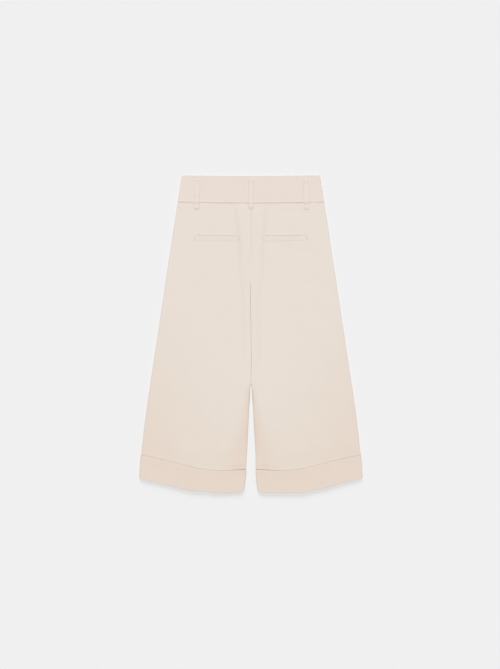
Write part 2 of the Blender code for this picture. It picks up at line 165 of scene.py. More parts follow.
SMALL_FOLDS = (  # the same columns
    (-1, 0.171, 0.0765, 4, 0.0085, 0.0045, 0.00045),
    (-1, 0.16, 0.079, -12, 0.009, 0.0055, -0.00025),
    (-1, 0.118, 0.078, 8, 0.011, 0.004, 0.00018),
    (-1, 0.08, 0.08, 0, 0.012, 0.004, -0.00018),
    (-1, 0.02, 0.08, -4, 0.01, 0.005, 0.0002),
    (-1, 0.035, 0.27, 24, 0.022, 0.006, -0.00015),
    (-1, 0.15, 0.17, 70, 0.016, 0.005, -0.00015),
    (1, 0.156, 0.075, -34, 0.009, 0.004, 0.0004),
    (1, 0.168, 0.0745, -48, 0.01, 0.004, -0.0003),
    (1, 0.178, 0.076, 0, 0.007, 0.004, 0.00035),
    (1, 0.085, 0.09, 86, 0.022, 0.005, -0.00022),
    (1, 0.083, 0.103, 84, 0.02, 0.005, -0.00018),
    (1, 0.033, 0.079, 6, 0.011, 0.0045, 0.0002),
    (1, 0.04, 0.272, 20, 0.024, 0.007, -0.00015),
    (1, 0.148, 0.164, 74, 0.015, 0.005, -0.00015),
)
FRONT_FOLDS = (  # the same columns: troughs in the face that lies on the floor
    (-1, 0.12, 0.33, 6, 0.12, 0.016, 0.0004),
    (-1, 0.06, 0.56, -4, 0.1, 0.014, 0.0003),
    (-1, 0.03, 0.25, 30, 0.04, 0.008, 0.0003),
    (1, 0.1, 0.38, 4, 0.14, 0.018, 0.0004),
    (1, 0.18, 0.56, 8, 0.09, 0.014, 0.0003),
    (1, 0.028, 0.255, 26, 0.036, 0.008, 0.0003),
)
WAVES = (  # length across and down, height, start: slight unevenness
    (0.11, 0.38, 0.0001, 0.7),
    (0.071, -0.26, 0.00006, 2.1),
    (0.16, 0.19, 0.00008, 4.0),
    (0.047, 0.33, 0.00004, 5.2),
)
WAVE_SHIFT = 1.7  # of their start, from side to side
BAND_WAVES = 0.7  # the share of them in the waistband
PUCKERS = (  # length, share, start: ridges that hang from a seam
    (0.0127, 0.4, 0.3),
    (0.0213, 0.35, 1.9),
    (0.0345, 0.25, 4.1),
)
PUCKER_GROUP = (0.093, 0.8)  # length, start: they come and go
PUCKER_SWELL = 0.45  # by this share of their height
WAIST_PUCKERS = (0.00022, 0.011)  # height, fade: below the waist seam
BAND_PUCKERS = (0.00010, 0.010)  # above it
CUFF_PUCKERS = (0.00012, 0.030)  # and at the cuff's top edge
CUFF_PUCKER_COUNT = 0.55  # they are fewer there

# Edges and seams.
SIDE_ROLL = 0.0035  # how far in from an edge the cloth rolls under
inner_roll = curve(  # down, the same between the legs
    (CROTCH, 0.00042), (0.325, 0.0004), (0.38, 0.00036), (0.415, 0.00026), (0.43, 0.00026),
    (0.45, 0.00034), (0.485, 0.00034), (0.503, 0.00008), (LEG_TOUCH, 0.00008), (0.524, 0.0005),
    (0.54, 0.0008),
)
FRONT_ROLL = 0.0016
FOLD_ROLL = 0.0012  # the same at a pressed fold
SEAM_ROLL = 0.0012
WAIST_DROP = 0.00021  # how deep the back dips into the waist seam
WAIST_DROP_CENTRE = 0.0002  # and more near the centre
WAIST_DROP_WIDTH = 0.070
BAND_RIDGE = 0.00028  # a low ridge over the seam's allowances
BAND_RIDGE_WIDTH = 0.0012
BAND_RIDGE_ABOVE = 1.5  # in its widths
BAND_LOFT = 0.0001  # more than the legs have
BAND_SEAM_ROLL = 0.0008
BAND_FOLD_PAINTED_SHADE = 0.85  # painted shade on its upper fold
BAND_FOLD_SHADE_WIDTH = 0.0016  # over this length
BAND_FACING = 0.0130  # a faint step this far down
BAND_FACING_STEP = 0.00014
BAND_FACING_WIDTH = 0.006
BAND_FRONT_LOWER = 0.0010  # than the back's upper edge
BAND_FRONT_ROLL = 0.0020
BAND_FRONT_DIP = 0.3  # into its seam, as a share of half its thickness
CENTRE_DROP = 0.0006  # into the centre seam, at its top
CENTRE_DROP_END = 0.00010  # and at the crotch
CENTRE_FADE = (0.170, 0.205)  # it changes between these distances down
CENTRE_RIDGE = 0.00016  # a low ridge over its allowances, pressed open
CENTRE_RIDGE_WIDTH = 0.011
CENTRE_RIDGE_STEP = 0.002
CENTRE_RIDGE_RIGHT = 0.5  # it is higher on the right, and lower on the left
FRONT_SEAM_RISE = 0.0006  # how far the front turns up into a seam
FRONT_FOLD_INSET = 0.010  # its folds keep this far from its sides
MOUTH_CLOSE = 0.006  # an open edge closes towards its sides over this length

# The cuffs.
CUFF_OUTSET = LAYER
CUFF_LIFT_LENGTH = 0.045
CUFF_LOFT = 0.0006
CUFF_STAND = 0.0002
CUFF_OPEN_STAND = 0.0006
CUFF_OPEN = 0.090
CUFF_STAND_SHARE = 0.4
CUFF_FOLD = 0.0011  # the thickness of its folded top edge
CUFF_FOLD_LENGTH = 0.008
CUFF_CLEAR = 0.1 * GAP  # above the leg, at least
CUFF_FRONT_ROLL = 0.0024  # how far in its sides turn up
CUFF_FRONT_TURN = 0.0004  # and its top edge
cuff_dip_depth = curve(  # across, how deep the leg dips under its top edge
    (0.0, 0.0014), (0.03, 0.0014), (0.045, 0.00105), (0.06, 0.0008), (0.08, 0.00055),
    (0.12, 0.0005), (0.2, 0.00048), (0.225, 0.0006), (0.29, 0.0007),
)
CUFF_DIP_WIDTH = 0.0011
CUFF_DIP_ABOVE = 0.0002
CUFF_LINE_ABOVE = 0.0095  # a second, fainter dip above it
CUFF_LINE_DEPTH = 0.00030
CUFF_LINE_WIDTH = 0.0017
CUFF_LINE_PLACE = (0.032, 0.022)  # its middle, and half its length
CUFF_SHADE = 0.20  # how much deeper in tone the leg is round that line
CUFF_SHADE_PLACE = (0.037, 0.030)
CUFF_SHADE_WIDTH = 0.0075
LEG_END = LAYER + 0.0009
HEM_ROLL = 0.00035
HEM_FRONT_ROLL = 0.7 * HEM_ROLL
RIM_PAINTED_LIGHT = 0.0013  # painted light: its rim, and the cuff's inner edge, are lighter over this length
HEM_FOLD = 0.0018  # the hem's fold is solid over this length
HEM_FOLD_STEP = 0.0006  # and ends over this one
HEM_FOLD_FRONT = 0.0004  # in the front this far past the first

# The welt pockets.
WELT_START = 0.031
WELT_END = 0.141
WELT_HEIGHT = 0.0130
WELT_DOWN = 0.1512
WELT_LEAN = 0.0018
WELT_PROUD = 0.0003
WELT_SINKS = 0.35  # by this share of that at its foot
WELT_SEAM_ROLL = 0.0030
WELT_FOLD = 0.0009  # how far its upper edge rounds over
WELT_LAYERED = 0.1  # towards the layered tone
WELT_PRESSED = 0.6
SLIT_DEPTH = 0.0012
SLIT_WIDTH = 0.0008
SLIT_FADE = 0.008  # it closes over this length at its ends
SLIT_LIP = 0.00016
SLIT_LIP_WIDTH = 0.0015
FOOT_DEPTH = 0.00007
FOOT_WIDTH = 0.0020
WELT_ENDS = 0.3  # the share of that depth at the welt's ends
WELT_ENDS_STEP = 0.001

# The belt loops.
LOOP_WIDTH = 0.0135
LOOP_CLOTH = 0.0008
LOOP_TOP = 0.0100
LOOP_BOTTOM = 0.0830
LOOP_LENGTH = LOOP_BOTTOM - LOOP_TOP
LOOP_SLACK = 0.0002
LOOP_TURNED = 0.0070  # each end is turned under
LOOP_TURNED_RISE = 0.0003
LOOP_TURNED_STEP = 0.0012
LOOP_ROLL = 0.0009
LOOP_END_ROLL = 0.0010
LOOP_STIFF = 0.0024  # it bridges a step over this length
LOOP_PARTS = 720  # of its length, to find what it rests on
LOOP_SIDES_PAINTED_SHADE = 0.3  # painted shade down its sides, towards the layered tone
LOOP_PALE = 0.004  # half the width of its paler middle, left without that painted shade as a painted highlight
TACK_IN = 0.0034  # from the loop's end to a bar tack
TACK_DIP = 0.00035
TACK_SPREAD = 0.55  # the width of that dip, as a share of the tack's height
LOOPS = (  # name, across at the top and at the bottom, share of its thickness kept there
    ("left", -0.133, -0.1362, 1.0),
    ("centre", 0.0005, 0.0005, 0.25),
    ("right", 0.1372, 0.1392, 1.0),
)

# Sewing thread.
THREAD = 0.00030
STITCH = 0.0023
STITCH_PITCH = 0.0029
STITCH_INSET = 0.0016  # from a loop's side to its edge stitching
STITCH_SINK = 0.00012
STITCH_GROOVE = 0.0005
STITCH_PROUD = 0.15  # above the cloth, as a share of the thread
TACK_PROUD = 0.3  # the same of a tack
TACK_HEIGHT = 0.0019
TACK_PITCH = 0.00052
TACK_LEAN = 0.14  # to left and right by turns
TACK_INSET = 0.0011  # from a loop's side to its tack
WELT_TACK = 0.0015  # the length of its stitches
WELT_TACK_LEAN = 0.12
WELT_TACK_ENDS = 0.0015  # from the welt's upper edge and foot
WELT_TACK_START = 0.0012  # before its first stitch
WELT_TACK_IN = 0.0008  # from the welt's end
ROUND = 6  # points round a stitch, and rings along it
RINGS = 0.92  # out to this share of its half length

# Weave. Its noises are given by the number of their cells in a metre.
YARN = 0.00052  # from one thread of the weave to the next
WANDER = 130.0
WANDERS = (2.6, 2.1)  # the warp's and the weft's, as angles
SLUBS_DOWN = (1100.0, 26.0)  # across, down
SLUBS_ACROSS = (24.0, 1000.0)
CLOUDS = 22.0
CRUMPLES = 75.0
CRUMPLE_HEIGHT = 0.00006
YARN_HEIGHT = 0.00005
TWIST = 0.00045  # from one turn of a thread's strands to the next

# Colours, as shares of light returned. The cloth is thin and pale, so that it looks warmer where
# more layers of it lie beneath. The layered tone and a deeper one also paint shade on the legs,
# the waistband's fold and the loops, and the cuffs' rims are painted lighter.
TONES = (  # share of the length from the waist, colour of the cloth there
    (0.00, (0.848, 0.752, 0.689)),
    (0.07, (0.846, 0.752, 0.688)),
    (0.10, (0.828, 0.749, 0.675)),
    (0.45, (0.832, 0.753, 0.679)),
)
LAYERED_AND_SHADE_TONE = (0.805, 0.690, 0.594)  # where there are many layers, as in the cuffs, and as painted shade
PAINTED_SHADE_TONE = (0.660, 0.550, 0.460)  # painted shade, deep between two edges and at the waistband's fold
LAYERED_BAND = 0.20  # how near to the layered tone the waistband is
DOWNWARD_PAINTED_SHADE = (0.42, 0.34, 0.43)  # painted shade, darker down the legs: from this far down, over this length, so much
# how that painted shade grows down the legs
DOWNWARD_SHADE_POWER = 1.3
SIDES_DARKER = (0.18, 0.45, 0.60)  # the same towards their sides
SLOPE_PAINTED_SHADE = 1.5  # painted shade where they slope down to their inner edges
# painted shade in the crease over the front's seams
CREASE_PAINTED_SHADE = 0.50
inner_edge_painted_shade = curve(  # down, painted shade at the inner edges, from the layered tone to the deep one
    (0.518, 0.0), (0.526, 0.4), (0.536, 1.3), (0.56, 1.2), (0.575, 0.85), (0.6, 0.54),
    (0.65, 0.48), (0.7, 0.21), (0.735, 0.06),
)
# how far in from the inner edges that painted shade reaches
PAINTED_EDGE_SHADE_WIDTH = 0.006
SHADED = (0.80, 0.78, 0.76)  # what the shade leaves of the colour
SHADES = (0.16, 0.30, 0.10, 0.03)  # between yarns, by slubs, by clouds, where pressed
THREAD_COLOUR = (0.86, 0.79, 0.72)
THREAD_SHADED = 0.82
PRESSED_SEAM = 0.005  # how far from a seam the cloth is pressed smooth
PRESSED_CENTRE = 0.002  # less beside the centre seam
PRESSED_FOLD = 0.006  # and from a fold
PRESSED_LOOP = 0.003
FLOOR_COLOUR = (0.871, 0.871, 0.871)

# Light and camera.
SKY = 0.33
LAMPS = (  # name, share of the light on the floor, height above the floor and width in degrees
    ("ceiling", 0.50, 90, 60),
    ("window", 0.17, 22.5, 24),
)
CAMERA_PLACE = (-0.0024, -0.0013, 4.646)
CAMERA_LENS = 100
FLOOR_SIZE = 80

# Grids.
FINE = 2000  # parts in a numerical integral
CLOSER = 2.0  # more columns round a chosen one
CLOSER_REACH = 0.035  # as a share of the width
PASSES = 8  # in which places between slanting edges are settled
ROWS = {  # of each stretch: length, first, last and longest step, growth
    "leg_back": (
        (0.083, 0.00012, 0.00025, 0.0030, 0.24),
        (WELT_HEIGHT, 0.00025, 0.0004, 0.0012, 0.24),
        (0.356, 0.0004, 0.0005, 0.0030, 0.14),
        (0.214, 0.0005, 0.0003, 0.0030, 0.14),
        (0.053, 0.0030, 0.0060, 0.0120, 0.24),
    ),
    "leg_front": (
        (0.452, 0.0002, 0.0005, 0.0050, 0.24),
        (0.214, 0.0005, 0.0030, 0.0050, 0.24),
        (0.053, 0.0030, 0.0060, 0.0120, 0.24),
    ),
    "cuff_back": ((0.056, 0.00008, 0.00008, 0.0022, 0.24),),
    "cuff_front": ((0.056, 0.0003, 0.00010, 0.0040, 0.24),),
    "band_back": ((0.067, 0.00008, 0.00010, 0.0022, 0.24),),
    "band_front": ((0.067, 0.00012, 0.00020, 0.0040, 0.24),),
    "welt": ((WELT_HEIGHT, 0.00006, 0.00012, 0.0008, 0.24),),
    "loop": ((LOOP_LENGTH, 0.00008, 0.00008, 0.0012, 0.24),),
}
COLUMNS = {  # width, rolled edge, steps over it, step between, places where they are closer
    "leg_back": (0.23, SIDE_ROLL, 9, 0.0022, (0.16, 0.735)),
    "leg_front": (0.23, SIDE_ROLL, 7, 0.0042, ()),
    "cuff_back": (0.26, SIDE_ROLL, 9, 0.0020, ()),
    "cuff_front": (0.26, SIDE_ROLL, 7, 0.0040, ()),
    "band_back": (0.35, SIDE_ROLL, 9, 0.0019, ()),
    "band_front": (0.175, SIDE_ROLL, 7, 0.0040, ()),
    "welt": (WELT_END - WELT_START, WELT_SEAM_ROLL, 7, 0.0014, ()),
    "loop": (LOOP_WIDTH, LOOP_ROLL, 5, 0.0007, ()),
}


# --- Curves ---


def smooth(t):
    """0 up to t = 0, 1 from t = 1, and the cubic 3 t^2 - 2 t^3 between."""
    t = np.clip(t, 0, 1)
    return t * t * (3 - 2 * t)


def blend(low, high, share):
    """From low where the share is 0 to high where it is 1."""
    return low + (high - low) * share


def roll(distance, width):
    """0 at an edge, rising as a quarter circle to 1 at the width."""
    return np.sqrt(1 - (1 - np.clip(distance / width, 0, 1)) ** 2)


def bell(distance, width):
    """1 in the middle, falling on both sides as exp(-(distance / width)^2)."""
    return np.exp(-((distance / width) ** 2))


def waist_edge(across):
    return WAIST_DIP * (1 - (across / WAIST_HALF_WIDTH) ** 2)


def waist_seam(across):
    return WAIST_SEAM - WAIST_SEAM_RISE * (across / SEAM_HALF_WIDTH) ** 2


def slit_line(across):
    """Down to the pocket's opening, carried on to the whole width of the leg."""
    return WELT_DOWN - WELT_LEAN * (across - WELT_START) / (WELT_END - WELT_START)


def welt_foot(across):
    return slit_line(across) + WELT_HEIGHT


def waist_line(across):
    """The lower edge of the waistband."""
    return waist_seam(across) - SLIVER


def leg_end(across):
    return hem_line(across) - LEG_END


def at(distance):
    """The same distance at every place, as a function."""
    return lambda place: np.zeros_like(place) + distance


def from_edges(across, down, outset=0.0):
    """The distances in from a leg's inner edge and side edge, or lines outside them."""
    return across - inner_edge(down) + outset, side_edge(down) + outset - across


def legs_apart(down):
    """0 above the crotch, where the two sides are sewn together, and 1 below it."""
    return smooth((down - CROTCH) / PARTING)


# --- Grids ---


def integral(per, place):
    """The running integral of per over place, by trapezia."""
    return np.concatenate([[0], np.cumsum((per[1:] + per[:-1]) / 2 * np.diff(place))])


def crowded(length, first, last, middle, growth):
    """Shares from 0 to 1 of a length. The steps are first and last long at its ends, and grow up
    to middle. Their count is the integral of one over the step, whole at each share."""
    place = np.linspace(0, length, 2 * FINE + 1)
    step = np.minimum(first + growth * place, last + growth * (length - place))
    count = integral(1 / np.minimum(step, middle), place)
    whole = np.linspace(0, count[-1], int(np.ceil(count[-1])) + 1)
    return np.interp(whole, count, place) / length


def columns_of(width, rolled, turns, step, near):
    """Columns of a grid, each a fixed distance and a share of the width. Over rolled edges they
    turn by equal angles. Between, they are closer round the shares in near."""
    edge = rolled * (1 - np.cos(np.linspace(0, np.pi / 2, turns + 1)))
    share = np.linspace(0, 1, FINE + 1)
    closer = sum((CLOSER * bell(share - place, CLOSER_REACH) for place in near), 0 * share)
    count = integral(width / step * (1 + closer), share)
    inside = np.interp(np.linspace(0, count[-1], int(count[-1]) + 1)[1:-1], count, share)
    fixed = np.concatenate([edge, rolled * (1 - 2 * inside), -edge[::-1]])
    return fixed, np.concatenate([0 * edge, inside, 0 * edge + 1])


def places(kind, lines, inner, outer):
    """Across and down at each point of a grid. The rows lie between the lines, functions of
    across, and the columns between inner and outer, functions of down. Each depends on the other,
    so they are settled in a few passes."""
    row = np.concatenate([i + crowded(*part)[i > 0 :] for i, part in enumerate(ROWS[kind])])
    fixed, share = columns_of(*COLUMNS[kind])
    before = np.minimum(row.astype(int), len(lines) - 2)
    part = (row - before)[:, None]
    which = np.arange(len(row))
    across = HIP_HALF_WIDTH * share[None, :] + np.zeros_like(part)
    for _ in range(PASSES):
        marks = np.stack([line(across) for line in lines])
        down = marks[before, which] * (1 - part) + marks[before + 1, which] * part
        low, high = inner(down), outer(down)
        across = low + fixed + share * (high - low)
    return across, down


def points(side, across, down, height):
    """Points in space. The centre line wanders sideways and the hem up and down, and they take the
    cloth beside them along."""
    drawn = centre_line(down) * bell(across, CENTRE_REACH)
    start, end = HEM_DRIFT_LENGTH
    lower = hem_drift(side * across) * smooth((down - start) / (end - start))
    return np.stack([side * across + drawn, LENGTH / 2 - down - lower, height], axis=-1)


# --- Relief ---


def folds(table, side, across, down):
    """The sum of a table's folds on this side. Each is its rise times exp(-(along / half length)^2
    - (aside / half width)^2), measured from its middle and turned by its lean."""
    total = np.zeros_like(across)
    for on, x, y, lean, length, width, rise in table:
        turn = np.radians(lean)
        along = (across - x) * np.sin(turn) + (down - y) * np.cos(turn)
        aside = (across - x) * np.cos(turn) - (down - y) * np.sin(turn)
        total += np.where(np.equal(side, on), rise * bell(along, length) * bell(aside, width), 0)
    return total


def unevenness(side, across, down):
    """A sum of long low sine waves that run aslant, another set on each side."""
    turns = [(across / x + down / y) * 2 * np.pi + start for x, y, _, start in WAVES]
    heights = [height for _, _, height, _ in WAVES]
    return sum(height * np.sin(turn + WAVE_SHIFT * side) for turn, height in zip(turns, heights))


def puckers(across, away, height, fade):
    """A sum of sines across, that swells and sinks over a longer wave and fades away from the seam
    as exp(-away / fade)."""
    turns = 2 * np.pi * across
    wave = sum(part * np.sin(turns / length + start) for length, part, start in PUCKERS)
    length, start = PUCKER_GROUP
    group = 1 - PUCKER_SWELL + PUCKER_SWELL * np.sin(turns / length + start)
    return height * wave * group * np.exp(-np.maximum(away, 0) / fade)


def front_lift(across, down):
    """How far the front of a leg is lifted off the floor by the cuff round it."""
    return LAYER * smooth(1 - (cuff_line(across) - down) / CUFF_LIFT_LENGTH)


def lens(across, down):
    """0 at the sides and 1 in the middle: a cosine over the whole above the crotch, which turns
    slowly into a sine over each leg below it."""
    inner, outer = inner_edge(down), side_edge(down)
    whole = np.cos(np.pi / 2 * np.clip(across / outer, 0, 1))
    leg = np.sin(np.pi * np.clip((across - inner) / (outer - inner), 0, 1))
    apart = smooth((down - CROTCH) / PARTING_LOFT)
    return whole * (1 - apart) + leg * apart


def beneath_relief(across, down):
    """The rise over the front's fly and crotch seams, with a soft crease along its edge."""
    from_edge = beneath_edge(down) - across
    step = smooth(from_edge / (2 * CREASE_WIDTH) + 0.5)
    crease = bell(from_edge, CREASE_WIDTH)
    return (BENEATH_RISE * step - CREASE_DEPTH * crease) * crease_mark(down)


def inner_slope(across, down):
    """0 on the leg, rising to 1 at its inner edge near the cuff: a slope that widens downwards."""
    below = np.clip((down - LEG_TOUCH) / (CUFF_TOP - LEG_TOUCH), 0, 1)
    width = INNER_SLOPE_WIDTH * below + GAP
    return np.sqrt(below) * smooth(1 - (across - inner_edge(down)) / width)


def cuff_dip(across, down):
    """How far the leg dips just above its cuff: two narrow troughs along it."""
    above = cuff_line(across) - down
    place, half = CUFF_LINE_PLACE
    near = bell(across - place, half)
    trough = cuff_dip_depth(across) * bell(above - CUFF_DIP_ABOVE, CUFF_DIP_WIDTH)
    return trough + CUFF_LINE_DEPTH * near * bell(above - CUFF_LINE_ABOVE, CUFF_LINE_WIDTH)


def leg_layers_and_painted_shading(across, down):
    """How near a leg is to the layered tone, and past 1 to the deep one. It is nearer towards the
    leg's sides, and the rest is painted shade: darker downwards, in the crease, on the slope to
    the inner edge and round the cuff's second line, and deep at the inner edge."""
    start, length, most = DOWNWARD_PAINTED_SHADE
    layered = most * smooth((down - start) / length) ** DOWNWARD_SHADE_POWER
    start, length, most = SIDES_DARKER
    layered += most * smooth((down - start) / length) * (across / side_edge(down)) ** 2
    layered += CREASE_PAINTED_SHADE * bell(beneath_edge(down) - across, CREASE_WIDTH) * crease_mark(down)
    layered += (1 - layered) * np.minimum(SLOPE_PAINTED_SHADE * inner_slope(across, down), 1)
    place, half = CUFF_SHADE_PLACE
    from_line = cuff_line(across) - CUFF_LINE_ABOVE - down
    layered += CUFF_SHADE * bell(across - place, half) * bell(from_line, CUFF_SHADE_WIDTH)
    from_inner, _ = from_edges(across, down)
    return layered + inner_edge_painted_shade(down) * np.exp(-np.maximum(from_inner, 0) / PAINTED_EDGE_SHADE_WIDTH)


def on_welt(across, fade):
    """1 along the pocket and 0 beyond it, with a soft step of this length."""
    return smooth((across - WELT_START) / fade) * smooth((WELT_END - across) / fade)


def slit_relief(across, down):
    """The pocket's opening, a trough with a lip above it, and a shallow trough round the rest of
    the welt."""
    below = down - slit_line(across)
    lip = SLIT_LIP * bell(below + SLIT_LIP_WIDTH, SLIT_LIP_WIDTH)
    opening = (lip - SLIT_DEPTH * bell(below, SLIT_WIDTH)) * on_welt(across, SLIT_FADE)
    foot = FOOT_DEPTH * bell(below - WELT_HEIGHT, FOOT_WIDTH) * on_welt(across, FOOT_WIDTH)
    beside = np.minimum(np.abs(across - WELT_START), np.abs(across - WELT_END))
    ends = FOOT_DEPTH * bell(beside, FOOT_WIDTH) * smooth(below / WELT_ENDS_STEP)
    ends *= smooth((WELT_HEIGHT - below) / WELT_ENDS_STEP)
    return opening - foot - WELT_ENDS * ends


# --- Heights of the faces ---


def leg_full(side, across, down):
    """Height of the back's upper face away from its edges and seams: the layers below it, how far
    it stands off them and its folds, all pressed flat in the cuff."""
    lift = front_lift(across, down)
    below_seam = down - waist_seam(across)
    loft = blend(SEAM_LOFT, LOFT, smooth(below_seam / SEAM_FADE))
    stand = STAND + loft * lens(across, down) - INNER_DROP * inner_slope(across, down)
    stand += folds(MAIN_FOLDS, side, across, down) + folds(SMALL_FOLDS, side, across, down)
    stand += beneath_relief(across, down) + unevenness(side, across, down)
    stand += puckers(side * across, below_seam, *WAIST_PUCKERS)
    return LAYER + SOLID + lift + np.maximum(stand, 0) * (1 - lift / LAYER)


def waist_drop(across):
    return WAIST_DROP + WAIST_DROP_CENTRE * bell(across, WAIST_DROP_WIDTH)


def leg_top(side, across, down):
    """The same with edges, which roll down as a quarter circle to meet the front, and with seams,
    into which it dips, but without the pocket."""
    full = leg_full(side, across, down)
    meet = LEG_MEETS + front_lift(across, down) + SLIVER
    from_inner, from_side = from_edges(across, down)
    apart = legs_apart(down)
    top, bottom = CENTRE_FADE
    drop = blend(CENTRE_DROP, CENTRE_DROP_END, smooth((down - top) / (bottom - top)))
    ridge = CENTRE_RIDGE * smooth((CENTRE_RIDGE_WIDTH - across) / CENTRE_RIDGE_STEP)
    ridge = ridge * (1 + CENTRE_RIDGE_RIGHT * np.sign(side))
    full = full + (ridge - drop * (1 - roll(from_inner, SEAM_ROLL))) * (1 - apart)
    full -= waist_drop(across) * (1 - roll(down - waist_seam(across), SEAM_ROLL))
    rolled = roll(from_side, SIDE_ROLL)
    rolled *= 1 - apart + apart * roll(from_inner, inner_roll(down))
    return blend(meet, full, rolled)


def band_top(x, down):
    """Height of the waistband's back, which rounds over at its upper fold, dips into its seam as
    deep as the legs do, and rolls down at both sides."""
    across = np.abs(x)
    loft = BAND_LOFT + SEAM_LOFT * np.cos(np.pi / 2 * np.clip(across / side_edge(down), 0, 1))
    above_seam = waist_seam(across) - down
    full = BAND_LOW + BAND + loft + puckers(x, above_seam, *BAND_PUCKERS)
    full += unevenness(2, x, down) * BAND_WAVES
    full += BAND_RIDGE * bell(above_seam - BAND_RIDGE_ABOVE * BAND_RIDGE_WIDTH, BAND_RIDGE_WIDTH)
    above_facing = BAND_FACING - down + waist_edge(across)
    full += BAND_FACING_STEP * smooth(above_facing / BAND_FACING_WIDTH + 0.5)
    seam = leg_full(np.where(x < 0, -1, 1), across, waist_seam(across)) - waist_drop(across)
    full = blend(seam, full, roll(above_seam, BAND_SEAM_ROLL))
    middle = BAND_LOW + BAND / 2 + SLIVER
    full = blend(middle, full, roll(down - waist_edge(across), FOLD_ROLL))
    return blend(BAND_MEETS + SLIVER, full, roll(side_edge(down) - across, SIDE_ROLL))


def garment_top(x, down):
    """Height of the waistband or, below its seam, of the back."""
    side, across = np.where(x < 0, -1, 1), np.abs(x)
    above = down < waist_seam(across)
    return np.where(above, band_top(x, down), leg_top(side, across, down))


def behind(upper, lowest):
    """The face behind an upper one: the cloth's thickness below it, but not under the lowest
    height, unless the upper face goes there."""
    return np.minimum(np.maximum(upper - CLOTH, lowest), upper - SLIVER)


# --- Meshes ---


def laid_out(grid):
    """Where each point of a grid lies on the flat cloth, in metres: the lengths of the steps along
    its row from the middle, and down its column, each without its slant."""
    across = np.hypot(*np.moveaxis(np.diff(grid[:, :, (0, 2)], axis=1), -1, 0))
    down = np.hypot(*np.moveaxis(np.diff(grid[:, :, (1, 2)], axis=0), -1, 0))
    u = np.pad(np.cumsum(across, axis=1), ((0, 0), (1, 0)))
    v = np.pad(np.cumsum(down, axis=0), ((1, 0), (0, 0)))
    middle = grid.shape[1] // 2
    way = np.sign(grid[0, -1, 0] - grid[0, 0, 0])
    u = way * (u - u[:, middle : middle + 1]) + grid[:, middle : middle + 1, 0]
    return np.stack([u, -v + grid[:1, :, 1]], axis=-1)


def placed(name, data):
    """A new object in the scene."""
    thing = bpy.data.objects.new(name, data)
    bpy.context.scene.collection.objects.link(thing)
    return thing


def mesh_piece(name, vertices, faces, material, uv, looks):
    """A piece from vertices and a list of arrays of faces, each with its own number of corners. uv
    has a row for each vertex, and so have the named looks."""
    corners = np.concatenate([group.ravel() for group in faces])
    sizes = np.concatenate([np.full(len(group), group.shape[1]) for group in faces])
    mesh = bpy.data.meshes.new(name)
    mesh.vertices.add(len(vertices))
    mesh.vertices.foreach_set("co", vertices.astype(np.float32).ravel())
    mesh.loops.add(len(corners))
    mesh.loops.foreach_set("vertex_index", corners.astype(np.int32))
    mesh.polygons.add(len(sizes))
    mesh.polygons.foreach_set("loop_start", (np.cumsum(sizes) - sizes).astype(np.int32))
    layer = mesh.uv_layers.new(name="cloth")
    layer.data.foreach_set("uv", uv[corners].astype(np.float32).ravel())
    for look, values in looks.items():
        layer = mesh.attributes.new(look, "FLOAT", "POINT")
        layer.data.foreach_set("value", values.astype(np.float32).ravel())
    mesh.update(calc_edges=True)
    mesh.validate()
    mesh.shade_smooth()
    mesh.materials.append(material)
    piece = placed(name, mesh)
    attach(piece, "root")
    return piece


def shell(name, upper, under, material, pressed, layered=0.0):
    """A closed piece between two grids: quads over both and a strip round the rim. pressed, and
    the layers with their painted shading, are numbers for the material, one for each point of a
    grid or one for all."""
    rows, columns, _ = upper.shape
    index = np.arange(rows * columns).reshape(rows, columns)
    quads = np.stack([index[:-1, :-1], index[1:, :-1], index[1:, 1:], index[:-1, 1:]], axis=-1)
    top = quads.reshape(-1, 4)
    beneath = top[:, ::-1] + rows * columns
    rim = np.concatenate([index[0, :-1], index[:-1, -1], index[-1, :0:-1], index[:0:-1, 0]])
    after = np.roll(rim, -1)
    strip = np.stack([rim, after, after + rows * columns, rim + rows * columns], axis=-1)
    faces = np.concatenate([top, beneath, strip])
    if upper[0, -1, 0] < upper[0, 0, 0]:
        faces = faces[:, ::-1]
    vertices = np.concatenate([upper.reshape(-1, 3), under.reshape(-1, 3)])
    uv = np.tile(laid_out(upper).reshape(-1, 2), (2, 1))
    looks = {"pressed": pressed, "layered": layered}
    for look, values in looks.items():
        looks[look] = np.tile(np.broadcast_to(values, (rows, columns)).ravel(), 2)
    return mesh_piece(name, vertices, [faces], material, uv, looks)


def plan_area(across, down):
    """The flat area of a grid: over its cells, half the cross product of the diagonals."""
    x, y = across[1:, 1:] - across[:-1, :-1], down[1:, 1:] - down[:-1, :-1]
    u, v = across[1:, :-1] - across[:-1, 1:], down[1:, :-1] - down[:-1, 1:]
    return float(np.abs(x * v - y * u).sum() / 2)


def lay(across, down, node):
    """Hides the solid that a piece of cloth replaces. The size and area of its plan are worked
    out, but not used.
    """
    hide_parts(node)
    flat = (float(np.ptp(across)), float(np.ptp(down)))
    plan_area(across, down)


def cut(name, side, across, down, faces, material, looks, node):
    """A piece between two faces, heights over the places of its grid, laid in its place. looks are
    pressed, and the layers with their painted shading."""
    upper, under = (points(side, across, down, height) for height in faces)
    piece = shell(name, upper, under, material, *looks)
    lay(across, down, node)


# --- Materials ---


def operator(operation, turned=False):
    """A method that adds a Math node for two values, or for them in the other order."""

    def method(self, other):
        return self.maths(operation, *((other, self) if turned else (self, other)))

    return method


class Value:
    """A number or a vector in a shader. Python's operators on it add Math nodes."""

    def __init__(self, finish, socket):
        self.finish = finish
        self.socket = socket

    def maths(self, operation, *values):
        inputs = dict(enumerate(values))
        return self.finish.node("ShaderNodeMath", {"operation": operation}, inputs)

    __add__, __radd__ = operator("ADD"), operator("ADD", True)
    __sub__, __rsub__ = operator("SUBTRACT"), operator("SUBTRACT", True)
    __mul__, __rmul__ = operator("MULTIPLY"), operator("MULTIPLY", True)
    __truediv__, at_least = operator("DIVIDE"), operator("MAXIMUM")

    def cosine(self):
        return self.maths("COSINE", self)


